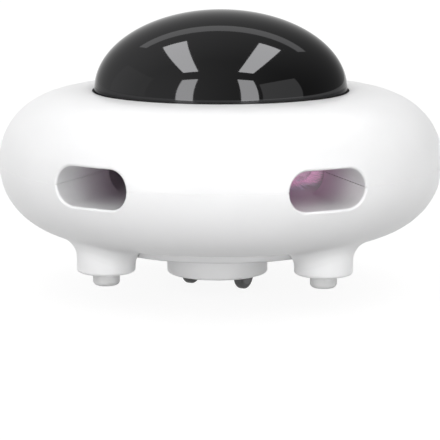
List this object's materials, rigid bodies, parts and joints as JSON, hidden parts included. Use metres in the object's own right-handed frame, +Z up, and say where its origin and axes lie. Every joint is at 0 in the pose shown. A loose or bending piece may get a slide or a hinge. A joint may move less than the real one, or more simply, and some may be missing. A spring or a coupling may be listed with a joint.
{
  "type": "rotating feather cat toy",
  "caption": "Round hollow ring with slot windows and a dark dome: a feather on a motor turns inside it, and a swivelling two-wheel drive carries it over the floor.",
  "frame": {"origin": "on the floor, under the centre of the round body", "axes": "+Z up; -Y is the front that the picture shows; +X to its right"},
  "size_m": [0.1856, 0.188, 0.1187],
  "materials": {
    "white_shell": "smooth satin white moulded ABS",
    "white_base": "satin white moulded ABS, a little greyer",
    "black_dome": "polished black moulded ABS",
    "black_gasket": "matt black foam rubber",
    "pale_foot": "soft pale grey silicone rubber",
    "screw_steel": "zinc-plated steel screws",
    "pin_steel": "ground steel pins and shafts",
    "gear_plastic": "natural white acetal",
    "pinion_brass": "machined brass",
    "bush_bronze": "sintered bronze",
    "motor_can": "pressed steel motor can",
    "cell_wrap": "plain blue shrink wrap",
    "tray_black": "black moulded plastic",
    "contact_nickel": "nickel-plated spring steel",
    "board_green": "green lacquered board",
    "switch_black": "black moulded switch",
    "button_grey": "soft grey button",
    "light_clear": "milky clear light pipe",
    "rotor_plastic": "satin white moulded rotor",
    "stem_white": "white plastic tube",
    "plume_pastel": "dyed pastel plume of fine barbs",
    "tyre_rubber": "matt dark grey rubber",
    "hub_plastic": "dark grey moulded plastic",
    "frame_plastic": "light grey moulded frame plastic"
  },
  "bodies": {
    "root": {"lower_shell": "white_shell", "upper_shell": "white_shell", "base_cover": "white_base", "dome": "black_dome", "dome_gasket": "black_gasket", "dome_screws": "screw_steel", "shell_screws": "screw_steel", "cover_screws": "screw_steel", "front_left_foot": "pale_foot", "front_right_foot": "pale_foot", "rear_left_foot": "pale_foot", "rear_right_foot": "pale_foot", "lower_bush": "bush_bronze", "upper_bush": "bush_bronze", "gear_pins": "pin_steel", "gearbox_cover": "frame_plastic", "gearbox_screws": "screw_steel", "feather_motor": "motor_can", "battery_cell": "cell_wrap", "battery_tray": "tray_black", "battery_contacts": "contact_nickel", "circuit_board": "board_green", "board_screws": "screw_steel", "charging_port": "contact_nickel", "power_switch": "switch_black", "indicator_light": "light_clear"},
    "rotor": {"rotor_hub": "rotor_plastic", "rotor_shaft": "pin_steel", "rotor_gear": "gear_plastic", "feather_stem": "stem_white", "feather_plume": "plume_pastel"},
    "slow_wheel": {"slow_gear": "gear_plastic"},
    "fast_wheel": {"fast_gear": "gear_plastic"},
    "feather_drive": {"feather_pinion": "pinion_brass", "feather_motor_shaft": "pin_steel"},
    "button": {"power_button": "button_grey"},
    "turret": {"turret_housing": "white_shell", "turret_cap": "frame_plastic", "cap_screws": "screw_steel", "drive_frame": "frame_plastic", "drive_pins": "pin_steel", "drive_motor": "motor_can"},
    "wheels": {"drive_axle": "pin_steel", "axle_gear": "gear_plastic", "left_wheel_hub": "hub_plastic", "right_wheel_hub": "hub_plastic", "left_tyre": "tyre_rubber", "right_tyre": "tyre_rubber"},
    "idler_wheel": {"idler_gear": "gear_plastic"},
    "second_wheel": {"second_gear": "gear_plastic"},
    "first_wheel": {"first_gear": "gear_plastic"},
    "drive_shaft": {"drive_pinion": "pinion_brass", "drive_motor_shaft": "pin_steel"}
  },
  "joints": [
    {"name": "rotor_spin", "type": "hinge", "parent": "root", "child": "rotor", "pos_m": [0, 0, 0.0551], "axis": [0, 0, 1], "continuous": true},
    {"name": "slow_gear_spin", "type": "hinge", "parent": "root", "child": "slow_wheel", "pos_m": [0, -0.015, 0.072], "axis": [0, 0, 1], "continuous": true},
    {"name": "fast_gear_spin", "type": "hinge", "parent": "root", "child": "fast_wheel", "pos_m": [0.012, -0.015, 0.075], "axis": [0, 0, 1], "continuous": true},
    {"name": "feather_motor_spin", "type": "hinge", "parent": "root", "child": "feather_drive", "pos_m": [0.018, -0.00461, 0.078], "axis": [0, 0, 1], "continuous": true},
    {"name": "turret_swivel", "type": "hinge", "parent": "root", "child": "turret", "pos_m": [-0.0015, 0, 0.0202], "axis": [0, 0, 1], "continuous": true},
    {"name": "wheel_spin", "type": "hinge", "parent": "turret", "child": "wheels", "pos_m": [-0.0015, 0, 0.0064], "axis": [0.9164, -0.4003, 0], "continuous": true},
    {"name": "idler_spin", "type": "hinge", "parent": "turret", "child": "idler_wheel", "pos_m": [-0.0015, 0, 0.0129], "axis": [0.9164, -0.4003, 0], "continuous": true},
    {"name": "second_gear_spin", "type": "hinge", "parent": "turret", "child": "second_wheel", "pos_m": [-0.0015, 0, 0.0189], "axis": [0.9164, -0.4003, 0], "continuous": true},
    {"name": "first_gear_spin", "type": "hinge", "parent": "turret", "child": "first_wheel", "pos_m": [-0.00391, -0.00551, 0.02491], "axis": [0.9164, -0.4003, 0], "continuous": true},
    {"name": "drive_motor_spin", "type": "hinge", "parent": "turret", "child": "drive_shaft", "pos_m": [-0.002, -0.00115, 0.03314], "axis": [0.9164, -0.4003, 0], "continuous": true},
    {"name": "button_press", "type": "slide", "parent": "root", "child": "button", "axis": [0, 0, 1], "range_m": [0, 0.0005], "stiffness_N_per_m": 300, "springref_m": -0.0005}
  ],
  "couplings": [
    {"joint": "slow_gear_spin", "follows": "rotor_spin", "ratio": -4},
    {"joint": "fast_gear_spin", "follows": "rotor_spin", "ratio": 12},
    {"joint": "feather_motor_spin", "follows": "rotor_spin", "ratio": -36},
    {"joint": "idler_spin", "follows": "wheel_spin", "ratio": -0.85714},
    {"joint": "second_gear_spin", "follows": "wheel_spin", "ratio": 1.2},
    {"joint": "first_gear_spin", "follows": "wheel_spin", "ratio": -2.88},
    {"joint": "drive_motor_spin", "follows": "wheel_spin", "ratio": 8.064}
  ]
}
